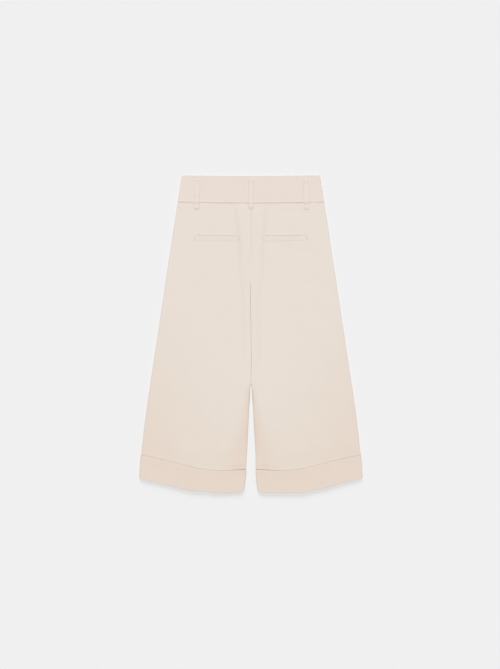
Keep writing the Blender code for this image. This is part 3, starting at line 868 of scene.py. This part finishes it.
class Finish:
    """A material with a Principled shader, and one method that adds any other node."""

    def __init__(self, name, **constants):
        self.material = bpy.data.materials.new(name)
        self.material.use_nodes = True
        self.tree = self.material.node_tree
        self.shader = self.tree.nodes["Principled BSDF"]
        self.set(**constants)

    def node(self, kind, settings=None, inputs=None, output=0):
        """Adds a node, sets its settings and then its sockets, by name or number, to values or to
        links, and gives one of its outputs. The setting "stops" fills a colour ramp."""
        node = self.tree.nodes.new(kind)
        for setting, value in (settings or {}).items():
            if setting == "stops":
                self.fill_ramp(node.color_ramp.elements, value)
            else:
                setattr(node, setting, value)
        for socket, value in (inputs or {}).items():
            self.connect(value, node.inputs[socket])
        return Value(self, node.outputs[output])

    def fill_ramp(self, elements, stops):
        while len(elements) < len(stops):
            elements.new(1.0)
        for element, (place, colour) in zip(elements, stops):
            element.position = place
            element.color = (*colour, 1.0)

    def connect(self, value, socket):
        if isinstance(value, Value):
            self.tree.links.new(value.socket, socket)
        else:
            socket.default_value = value

    def set(self, **sockets):
        for socket, value in sockets.items():
            self.connect(value, self.shader.inputs[socket.replace("_", " ")])

    def mix(self, factor, first, second, blend="MIX"):
        """A colour between two others, each a link or three numbers."""
        first, second = (
            colour if isinstance(colour, Value) else (*colour, 1.0) for colour in (first, second)
        )
        inputs = {0: factor, 6: first, 7: second}
        return self.node("ShaderNodeMix", {"data_type": "RGBA", "blend_type": blend}, inputs, 2)

    def part(self, vector, number):
        """One part of a vector."""
        return self.node("ShaderNodeSeparateXYZ", None, {0: vector}, number)

    def stored(self, name):
        """A number kept at each point of the mesh."""
        return self.node("ShaderNodeAttribute", {"attribute_name": name}, None, 2)

    def noise(self, vector, scale, detail=2.0):
        inputs = {"Vector": vector, "Scale": scale, "Detail": detail}
        return self.node("ShaderNodeTexNoise", {"noise_dimensions": "2D"}, inputs)

    def stretched(self, vector, across, down):
        """A vector with its two parts multiplied."""
        inputs = {0: vector, 1: (across, down, 1.0)}
        return self.node("ShaderNodeVectorMath", {"operation": "MULTIPLY"}, inputs)

    def bump(self, height, distance, strength=1.0, **normal):
        inputs = {"Height": height, "Distance": distance, "Strength": strength, **normal}
        return self.node("ShaderNodeBump", None, inputs)


def suiting():
    """A fine plain weave of slightly uneven yarns, matt with a faint sheen. It is smoother where
    it has been pressed, and warmer where more layers lie beneath; the same tones, and a deeper
    one, also carry painted shade and painted light."""
    finish = Finish("suiting", Metallic=0.0, Sheen_Weight=0.08, Sheen_Roughness=0.5)
    cloth = finish.node("ShaderNodeUVMap", {"uv_map": "cloth"})
    wander = finish.noise(cloth, WANDER) - 0.5
    warp, weft = (
        (finish.part(cloth, i) * (np.pi / YARN) + wander * far).cosine()
        for i, far in enumerate(WANDERS)
    )
    over = warp * weft * 0.5 + 0.5
    yarns = (warp * warp * over).at_least(weft * weft * (1 - over))
    slubs_down = finish.noise(finish.stretched(cloth, *SLUBS_DOWN), 1.0)
    slubs_across = finish.noise(finish.stretched(cloth, *SLUBS_ACROSS), 1.0)
    slubs = (slubs_down + slubs_across) * 0.5
    cloudy = finish.noise(cloth, CLOUDS, 3.0)
    pressed = finish.stored("pressed")

    place = finish.node("ShaderNodeTexCoord", None, None, 3)
    share_down = 0.5 - finish.part(place, 1) / LENGTH
    single = finish.node("ShaderNodeValToRGB", {"stops": TONES}, {0: share_down})
    # Tone for more layers and for painted shade; past 1, the deep tone of deeper painted shade.
    layered = finish.stored("layered")
    tone = finish.mix(layered, single, LAYERED_AND_SHADE_TONE)
    tone = finish.mix(layered - 1, tone, PAINTED_SHADE_TONE)
    yarn, slub, cloud, press = SHADES
    shade = (1 - yarns) * yarn + (slubs - 0.5) * slub + (cloudy - 0.5) * cloud + pressed * press
    darker = finish.mix(1.0, tone, SHADED, "MULTIPLY")
    finish.set(Base_Color=finish.mix(shade, tone, darker))
    finish.set(Roughness=0.88 - pressed * 0.12 + (slubs - 0.5) * 0.10)

    crumple = finish.bump(finish.noise(cloth, CRUMPLES, 3.0), CRUMPLE_HEIGHT)
    finish.set(Normal=finish.bump(yarns + slubs * 0.9, YARN_HEIGHT, 0.8, Normal=crumple))
    return finish.material


def sewing_thread():
    """Two twisted strands: the height is a sine along the stitch, which leans."""
    finish = Finish("sewing_thread", Metallic=0.0, Sheen_Weight=0.2)
    along = finish.node("ShaderNodeUVMap", {"uv_map": "cloth"})
    u, v = finish.part(along, 0), finish.part(along, 1)
    strands = (u * (2 * np.pi / TWIST) + v * (2 * np.pi)).cosine() * 0.5 + 0.5
    dark = tuple(THREAD_SHADED * part for part in THREAD_COLOUR)
    finish.set(Base_Color=finish.mix(strands, dark, THREAD_COLOUR))
    finish.set(Roughness=0.62 - strands * 0.12, Normal=finish.bump(strands, YARN_HEIGHT))
    return finish.material


def floor_paint():
    colour = (*FLOOR_COLOUR, 1.0)
    return Finish("floor_paint", Base_Color=colour, Roughness=1.0, Specular_IOR_Level=0.0).material


# --- Pieces of cloth ---


def leg_back(word, side, material):
    """Fine near its seams, pocket and edges, and plain inside the cuff."""
    lines = [waist_seam, slit_line, welt_foot, at(LEG_TOUCH), cuff_line, leg_end]
    across, down = places("leg_back", lines, inner_edge, side_edge)
    upper = leg_top(side, across, down) + slit_relief(across, down) - cuff_dip(across, down)
    under = behind(upper, LAYER + front_lift(across, down))
    _, from_side = from_edges(across, down)
    seams = np.minimum(from_side, across + PRESSED_CENTRE)
    pressed = np.exp(-np.minimum(down - waist_seam(across), seams) / PRESSED_SEAM)
    cut(f"leg_back_{word}", side, across, down, (upper, under), material,
        (pressed, leg_layers_and_painted_shading(across, down)), f"back_{word}")


def leg_front(word, side, material):
    """Its seen face is the one on the floor. It turns up at its sides to meet the back, and into
    its seams at the waist and above the crotch."""
    lines = [waist_seam, at(LEG_TOUCH), cuff_line, leg_end]
    across, down = places("leg_front", lines, inner_edge, side_edge)
    lift = front_lift(across, down)
    meet = LEG_MEETS - SLIVER
    from_inner, from_side = from_edges(across, down)
    apart = legs_apart(down)
    seams = FRONT_SEAM_RISE * (1 - roll(down - waist_seam(across), SEAM_ROLL))
    seams += FRONT_SEAM_RISE * (1 - roll(from_inner, SEAM_ROLL)) * (1 - apart)
    inside = smooth(np.minimum(from_side, from_inner) / FRONT_FOLD_INSET)
    base = np.maximum(seams, folds(FRONT_FOLDS, side, across, down) * inside * (1 - lift / LAYER))
    flat = roll(from_side, FRONT_ROLL) * (1 - apart + apart * roll(from_inner, FRONT_ROLL))
    under = lift + meet + (base - meet) * flat
    upper = np.maximum(lift + CLOTH, under + SLIVER)
    looks = np.exp(-from_side / PRESSED_SEAM), leg_layers_and_painted_shading(across, down)
    cut(f"leg_front_{word}", side, across, down, (upper, under), material, looks, f"front_{word}")


def mouth(across, down, side_level, open_level):
    """The height of the hem's fold, which comes to that of the side seam at the sides."""
    from_side = np.minimum(*from_edges(across, down, CUFF_OUTSET))
    return blend(side_level, open_level, smooth(from_side / MOUTH_CLOSE))


def cuff_places(kind):
    """Places on a cuff, and their distances from its top edge and from the hem."""

    def inner(down):
        return inner_edge(down) - CUFF_OUTSET

    def outer(down):
        return side_edge(down) + CUFF_OUTSET

    across, down = places(kind, [cuff_line, hem_line], inner, outer)
    return across, down, down - cuff_line(across), hem_line(across) - down


def cuff_sides(across, down, width):
    """0 at the cuff's two side edges, rising to 1 inside them."""
    from_inner, from_side = from_edges(across, down, CUFF_OUTSET)
    return roll(from_inner, width) * roll(from_side, width)


def cuff_back(word, side, material):
    """Its top edge is a fold that stands off the leg, most of all near the inner edge. At the hem
    it folds inwards, over the leg's own end."""
    across, down, from_top, from_hem = cuff_places("cuff_back")
    share = from_top / (from_top + from_hem)
    ripple = puckers(side * across * CUFF_PUCKER_COUNT, from_top, *CUFF_PUCKERS)
    stand = CUFF_STAND + CUFF_OPEN_STAND * smooth(1 - across / CUFF_OPEN)
    stand += 2 * np.maximum(ripple, 0)
    full = 3 * LAYER + SOLID + CUFF_LOFT * lens(across, down) + unevenness(side, across, down)
    full += ripple + stand * (1 - smooth(share / CUFF_STAND_SHARE))

    edge = blend(CUFF_FOLD, CLOTH, smooth(from_top / CUFF_FOLD_LENGTH))
    middle = full - edge / 2
    at_top = roll(from_top, FOLD_ROLL)
    fold = mouth(across, down, CUFF_MEETS, 3 * LAYER - GAP)
    at_hem = roll(from_hem, HEM_ROLL)
    sides = cuff_sides(across, down, SIDE_ROLL)
    meet = CUFF_MEETS + SLIVER
    upper = middle + SLIVER / 2 + (full - middle) * at_top
    upper = fold + SLIVER / 2 + (upper - fold) * at_hem
    upper = blend(meet, upper, sides)
    under = middle - SLIVER / 2 - (edge / 2) * at_top
    under = np.maximum(under, 2 * LAYER + SOLID + CUFF_CLEAR)
    in_fold = smooth((HEM_FOLD + HEM_FOLD_STEP - from_hem) / HEM_FOLD_STEP)
    folded = fold - SLIVER / 2 - (fold - 2 * LAYER + GAP / 3) * at_hem
    under = blend(under, folded, in_fold)
    under = np.minimum(np.maximum(under, meet - SLIVER / 2), upper - SLIVER)
    pressed = np.exp(-np.minimum(from_top, from_hem) / PRESSED_FOLD)
    # The cuff's layered tone, with painted light along the hem and the inner edge.
    from_inner, _ = from_edges(across, down, CUFF_OUTSET)
    layered = 1 - np.exp(-np.minimum(from_hem, from_inner) / RIM_PAINTED_LIGHT)
    cut(f"turn_up_back_{word}", side, across, down, (upper, under), material, (pressed, layered),
        f"cuff_back_{word}")


def cuff_front(word, side, material):
    """Flat on the floor, with its hem folded up and its sides turned up to meet the back."""
    across, down, from_top, from_hem = cuff_places("cuff_front")
    meet = CUFF_MEETS - SLIVER
    fold = mouth(across, down, meet, LEG_MEETS)
    sides = cuff_sides(across, down, CUFF_FRONT_ROLL)
    at_hem = roll(from_hem, HEM_FRONT_ROLL)
    at_top = CUFF_FRONT_TURN * (1 - roll(from_top, FOLD_ROLL))
    under = fold - SLIVER / 2 + (at_top - fold) * at_hem
    under = np.maximum(meet - SLIVER + (under - meet) * sides, 0)
    folded = fold + (2 * LAYER - 2 * GAP - fold) * at_hem
    in_fold = smooth((HEM_FOLD + HEM_FOLD_FRONT - from_hem) / HEM_FOLD_STEP)
    upper = blend(CLOTH, np.maximum(folded, CLOTH), in_fold)
    upper = np.minimum(np.maximum(upper, under + SLIVER), meet)
    upper = np.maximum(upper, under + SLIVER / 2)
    cut(f"turn_up_front_{word}", side, across, down, (upper, under), material,
        (np.exp(-from_hem / PRESSED_FOLD), 1.0), f"cuff_front_{word}")


def band_fold_painted_shade(x, down):
    """How much painted shade darkens the band near its upper fold."""
    return (2 - LAYERED_BAND) * BAND_FOLD_PAINTED_SHADE * bell(down - waist_edge(x), BAND_FOLD_SHADE_WIDTH)


def waistband_back(material):
    """One grid from side to side, whose upper edge is a fold."""

    def left_edge(down):
        return -side_edge(down)

    x, down = places("band_back", [waist_edge, waist_line], left_edge, side_edge)
    upper = band_top(x, down)
    low, middle = BAND_LOW, BAND_LOW + BAND / 2
    from_top = down - waist_edge(x)
    under = np.minimum(middle - (middle - low) * roll(from_top, FOLD_ROLL), upper - SLIVER)
    sides = roll(side_edge(down) - np.abs(x), FRONT_ROLL)
    under = np.minimum(low - GAP / 2 + (under - low + GAP / 2) * sides, upper - SLIVER)
    pressed = np.exp(-np.minimum(from_top, waist_seam(x) - down) / PRESSED_FOLD)
    # The band's own tone, with painted shade at its upper fold.
    layered = LAYERED_BAND + band_fold_painted_shade(x, down)
    cut("band_back", 1, x, down, (upper, under), material, (pressed, layered), "waistband_back")


def waistband_front(word, side, material):
    """Flat on the floor, with its upper edge and its end at the centre folded."""

    def top(across):
        return waist_edge(across) + BAND_FRONT_LOWER

    across, down = places("band_front", [top, waist_line], at(GAP / 2), side_edge)
    middle, meet = BAND / 2, BAND_MEETS
    at_fold = roll(down - top(across), FOLD_ROLL) * roll(across - GAP / 2, FOLD_ROLL)
    at_seam = 1 - BAND_FRONT_DIP * (1 - roll(waist_seam(across) - down, SEAM_ROLL))
    at_side = roll(side_edge(down) - across, BAND_FRONT_ROLL)
    under = middle * (1 - at_fold * at_seam) - SLIVER
    upper = middle + middle * at_fold * at_seam
    under = np.maximum(meet - 2 * SLIVER + (under - meet) * at_side, 0)
    upper = meet - SLIVER + (upper - meet) * at_side
    pressed = np.exp(-(down - waist_edge(across)) / PRESSED_FOLD)
    # The band's own tone, with painted shade at its upper fold.
    layered = LAYERED_BAND + band_fold_painted_shade(across, down - BAND_FRONT_LOWER)
    cut(f"band_front_{word}", side, across, down, (upper, under), material, (pressed, layered),
        f"waistband_front_{word}")


# --- Pockets, loops and sewing ---


def welt_top(side, across, down):
    """Height of a welt: proud of the back along its fold, which rounds over into the opening, and
    coming down to it at its foot and its ends."""
    below = down - slit_line(across)
    ends = np.minimum(across - WELT_START, WELT_END - across)
    sewn = roll(np.minimum(WELT_HEIGHT - below, ends), WELT_SEAM_ROLL)
    leg = leg_top(side, across, down)
    lowest = leg + slit_relief(across, down)
    level = leg + WELT_PROUD * (1 - WELT_SINKS * smooth(below / WELT_HEIGHT))
    upper = lowest + 2 * SLIVER + (level - lowest) * sewn
    middle = (upper + lowest) / 2
    return blend(middle, upper, roll(below, WELT_FOLD))


def welt(word, side, material):
    """A folded strip whose fold is its upper edge."""
    across, down = places("welt", [slit_line, welt_foot], at(WELT_START), at(WELT_END))
    below = down - slit_line(across)
    upper = welt_top(side, across, down)
    under = leg_top(side, across, down) + slit_relief(across, down) + SLIVER
    under = under + (upper - under) * 0.5 * (1 - roll(below, WELT_FOLD))
    under = np.minimum(under, upper - SLIVER)
    piece = shell(f"welt_{word}", points(side, across, down, upper),
                  points(side, across, down, under), material, WELT_PRESSED, WELT_LAYERED)
    lay(across, below, f"pocket_welt_{word}")


def loop_ground(top, bottom):
    """The height that a belt loop rests on, at even places along it: the highest over its width,
    then the highest and the mean over the length that it bridges."""
    share = np.linspace(0, 1, LOOP_PARTS + 1)[:, None]
    aside = np.linspace(-0.5, 0.5, 11)[None, :] * LOOP_WIDTH
    x = top + share * (bottom - top) + aside
    highest = garment_top(x, LOOP_TOP + share * LOOP_LENGTH + 0 * aside).max(axis=1)
    reach = int(LOOP_STIFF / LOOP_LENGTH * LOOP_PARTS)
    for settle in (np.max, np.mean):
        padded = np.pad(highest, reach, "edge")
        windows = np.lib.stride_tricks.sliding_window_view(padded, 2 * reach + 1)
        highest = settle(windows, axis=1)
    return share[:, 0], highest


def loop_faces(loop, share, aside):
    """The two faces of a loop at shares of its length and distances from its middle. It stands off
    the band between its ends, is thicker where they are turned under, dips at its tacks and
    stitching, and has rounded edges."""
    _, top, bottom, kept = loop
    places_along, ground = loop_ground(top, bottom)
    from_end = np.minimum(share, 1 - share) * LOOP_LENGTH
    under = np.interp(share, places_along, ground) + GAP / 3
    under = under + LOOP_SLACK * np.sin(np.pi * smooth(share)) ** 2
    thick = LOOP_CLOTH + LOOP_TURNED_RISE * smooth((LOOP_TURNED - from_end) / LOOP_TURNED_STEP)
    thick = thick * (1 - (1 - kept) * smooth(1 - (1 - share) * LOOP_LENGTH / LOOP_TURNED))
    tack = TACK_DIP * bell(from_end - TACK_IN, TACK_HEIGHT * TACK_SPREAD)
    groove = STITCH_SINK * bell(np.abs(aside) - LOOP_WIDTH / 2 + STITCH_INSET, STITCH_GROOVE)
    edges = roll(LOOP_WIDTH / 2 - np.abs(aside), LOOP_ROLL) * roll(from_end, LOOP_END_ROLL)
    full = under + thick - tack - groove
    middle = under + thick / 2
    upper = middle + SLIVER / 2 + (full - middle) * edges
    lower = middle - SLIVER / 2 - (middle - under) * edges
    x = top + share * (bottom - top) + aside
    return x, LENGTH / 2 - LOOP_TOP - share * LOOP_LENGTH, upper, lower


def belt_loop(loop, material):
    """A strip on the waistband and the legs, with painted shade down its sides that leaves it a
    little paler down its middle.
    """
    share = crowded(*ROWS["loop"][0])[:, None]
    fixed, steps = columns_of(*COLUMNS["loop"])
    aside = (fixed + steps * LOOP_WIDTH - LOOP_WIDTH / 2)[None, :] + 0 * share
    share = share + 0 * aside
    x, y, upper, under = loop_faces(loop, share, aside)
    pressed = np.exp(-(LOOP_WIDTH / 2 - np.abs(aside)) / PRESSED_LOOP)
    piece = shell(f"loop_{loop[0]}", np.stack([x, y, upper], -1), np.stack([x, y, under], -1),
                  material, pressed, LOOP_SIDES_PAINTED_SHADE * (1 - bell(aside, LOOP_PALE)))
    lay(aside, share * LOOP_LENGTH, f"belt_loop_{loop[0]}")


def stitches(name, middles, directions, length, material):
    """Many stitches as one mesh. Each is a small closed spindle: rings of points about its line,
    whose radius follows the square root of 1 - t^4, and a point at each end."""
    ring = np.linspace(-RINGS, RINGS, ROUND)
    turn = np.arange(ROUND) * 2 * np.pi / ROUND
    forward = directions / np.linalg.norm(directions, axis=1, keepdims=True)
    sideways = np.cross((0.0, 0.0, 1.0), forward)
    sideways /= np.linalg.norm(sideways, axis=1, keepdims=True)
    upward = np.cross(forward, sideways)
    radius = THREAD / 2 * np.sqrt(1 - ring**4)
    body = (
        middles[:, None, None]
        + forward[:, None, None] * (ring * length / 2)[None, :, None, None]
        + sideways[:, None, None] * (radius[:, None] * np.cos(turn))[None, :, :, None]
        + upward[:, None, None] * (radius[:, None] * np.sin(turn))[None, :, :, None]
    )
    tips = middles[:, None] + forward[:, None] * (np.array([-1, 1]) * length / 2)[None, :, None]
    count, each = len(middles), ROUND * ROUND
    vertices = np.concatenate([body.reshape(count, each, 3), tips], axis=1).reshape(-1, 3)
    start = np.arange(count)[:, None, None] * (each + 2)
    grid = np.arange(each).reshape(ROUND, ROUND)
    turned = np.roll(grid, -1, axis=1)
    quads = np.stack([grid[:-1], turned[:-1], turned[1:], grid[1:]], -1).reshape(-1, 4)
    first = np.stack([turned[0], grid[0], np.full(ROUND, each)], -1)
    last = np.stack([grid[-1], turned[-1], np.full(ROUND, each + 1)], -1)
    caps = np.concatenate([first, last])
    faces = [(quads[None] + start).reshape(-1, 4), (caps[None] + start).reshape(-1, 3)]
    along = np.concatenate([np.repeat(ring * length / 2, ROUND), [-length / 2, length / 2]])
    round_it = np.concatenate([np.tile(turn / (2 * np.pi), ROUND), [0, 0]])
    uv = np.tile(np.stack([along, round_it], -1), (count, 1))
    return mesh_piece(name, vertices, faces, material, uv, {})


def by_turns(count, lean):
    """The lean of each stitch of a zigzag, to one side and the other by turns."""
    return np.where(np.arange(count) % 2, lean, -lean)


def loop_sewing(loop, material):
    """Edge stitching down both sides, and the zigzag of a bar tack at each end."""
    count = int((LOOP_LENGTH - 2 * TACK_IN - 2 * TACK_HEIGHT) / STITCH_PITCH)
    steps = (np.arange(count) - (count - 1) / 2) * STITCH_PITCH / LOOP_LENGTH + 0.5
    share = np.tile(steps, 2)
    aside = np.repeat([-1, 1], count) * (LOOP_WIDTH / 2 - STITCH_INSET)
    half = STITCH / 2 / LOOP_LENGTH
    x, y, z, _ = loop_faces(loop, share, aside)
    before = np.stack(loop_faces(loop, share - half, aside)[:3], -1)
    after = np.stack(loop_faces(loop, share + half, aside)[:3], -1)
    stitches(f"loop_stitching_{loop[0]}", np.stack([x, y, z + THREAD * STITCH_PROUD], -1),
             after - before, STITCH, material)

    zigzag = int((LOOP_WIDTH - 2 * TACK_INSET) / TACK_PITCH)
    place = (np.arange(zigzag) - (zigzag - 1) / 2) * TACK_PITCH
    aside = np.tile(place, 2)
    share = np.repeat([TACK_IN, LOOP_LENGTH - TACK_IN], zigzag) / LOOP_LENGTH
    x, y, z, _ = loop_faces(loop, share, aside)
    lean = by_turns(2 * zigzag, TACK_LEAN)
    directions = np.stack([lean, np.ones_like(lean), 0 * lean], -1)
    stitches(f"loop_tacks_{loop[0]}", np.stack([x, y, z + THREAD * TACK_PROUD], -1), directions,
             TACK_HEIGHT, material)


def welt_sewing(word, side, material):
    """A bar tack across each end of a welt."""
    count = int((WELT_HEIGHT - 2 * WELT_TACK_ENDS) / TACK_PITCH)
    below = (np.arange(count) + 0.5) * TACK_PITCH + WELT_TACK_START
    across = np.repeat([WELT_START + WELT_TACK_IN, WELT_END - WELT_TACK_IN], count)
    down = slit_line(across) + np.tile(below, 2)
    height = np.maximum(welt_top(side, across, down), leg_top(side, across, down))
    lean = by_turns(2 * count, WELT_TACK_LEAN)
    directions = np.stack([np.ones_like(lean), lean, 0 * lean], -1)
    middles = points(side, across, down, height + THREAD * TACK_PROUD)
    stitches(f"welt_tacks_{word}", middles, directions, WELT_TACK, material)


# --- Stage ---


def make_floor():
    half = FLOOR_SIZE / 2
    corners = [(-half, -half, 0), (half, -half, 0), (half, half, 0), (-half, half, 0)]
    mesh = bpy.data.meshes.new("floor")
    mesh.from_pydata(corners, [], [(0, 1, 2, 3)])
    mesh.materials.append(floor_paint())
    placed("floor", mesh)


def make_light():
    """A plain sky, a broad soft light overhead, and a low one beyond the waist."""
    world = bpy.data.worlds.new("sky")
    world.use_nodes = True
    sky = world.node_tree.nodes["Background"]
    sky.inputs["Color"].default_value = (1, 1, 1, 1)
    sky.inputs["Strength"].default_value = SKY
    bpy.context.scene.world = world
    for name, share, height, width in LAMPS:
        sun = bpy.data.lights.new(name, "SUN")
        sun.energy = share * np.pi / np.sin(np.radians(height))
        sun.angle = np.radians(width)
        placed(name, sun).rotation_euler = (np.radians(height - 90), 0, 0)
    bpy.context.scene.view_settings.view_transform = "Standard"


def make_camera():
    """Straight above, with the waist at the top of the view."""
    lens_data = bpy.data.cameras.new("camera")
    lens_data.lens = CAMERA_LENS
    lens_data.clip_end = 100
    camera = placed("camera", lens_data)
    camera.location = CAMERA_PLACE
    bpy.context.scene.camera = camera


def main():
    cloth, thread = suiting(), sewing_thread()
    for word, side in (("left", -1), ("right", 1)):
        for make in (leg_front, leg_back, cuff_front, cuff_back, waistband_front, welt):
            make(word, side, cloth)
        welt_sewing(word, side, thread)
    waistband_back(cloth)
    for loop in LOOPS:
        belt_loop(loop, cloth)
        loop_sewing(loop, thread)
    make_floor()
    make_light()
    make_camera()


main()
